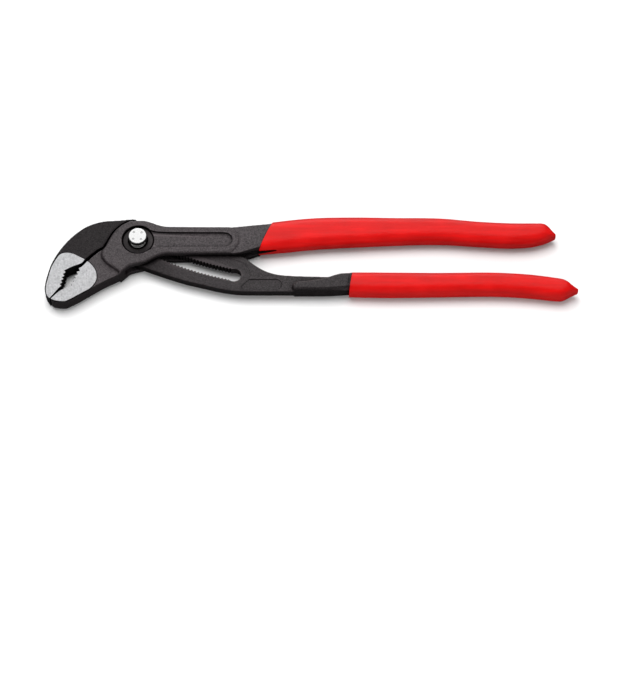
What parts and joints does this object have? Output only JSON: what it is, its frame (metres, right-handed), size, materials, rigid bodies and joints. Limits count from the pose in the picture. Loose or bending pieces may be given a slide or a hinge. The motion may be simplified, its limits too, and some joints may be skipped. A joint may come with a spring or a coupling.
{
  "type": "tongue and groove pliers",
  "caption": "Push-button tongue and groove pliers: box joint on a curved toothed slot, angled serrated jaws and two slim plastic-coated handles.",
  "frame": {"origin": "on the joint axis, at the rear face of the joint bolt, level with the back cheek", "axes": "+X from the joint towards the handle ends, +Z out of the back of the tool towards the push button"},
  "size_m": [0.2994, 0.0562, 0.016],
  "materials": {
    "forged_steel": "dark grey phosphated forging, ground bright beside the mouth",
    "bolt_steel": "turned, dull",
    "button_chrome": "bright plated",
    "spring_steel": "drawn wire, bright",
    "grip_plastic": "red dipped plastic, fine orange peel"
  },
  "bodies": {
    "box_leg": {"box_leg": "forged_steel", "box_leg_grip": "grip_plastic"},
    "joint_pivot": {"spring_seat_ring": "bolt_steel", "button_spring": "spring_steel"},
    "locking_bolt": {"joint_bolt": "bolt_steel", "push_button": "button_chrome"},
    "toothed_leg": {"toothed_leg": "forged_steel", "toothed_leg_grip": "grip_plastic"}
  },
  "joints": [
    {"name": "handle_swing", "type": "hinge", "parent": "box_leg", "child": "joint_pivot", "pos_m": [0, 0, 0.006], "axis": [0, 0, -1], "range_deg": [0, 35]},
    {"name": "slot_step", "type": "hinge", "parent": "joint_pivot", "child": "toothed_leg", "pos_m": [0.09406, 0.16162, 0.006], "axis": [0, 0, -1], "range_deg": [0, 18]},
    {"name": "button_press", "type": "slide", "parent": "joint_pivot", "child": "locking_bolt", "axis": [0, 0, -1], "range_m": [0, 0.002], "deforming": ["button_spring"]}
  ]
}
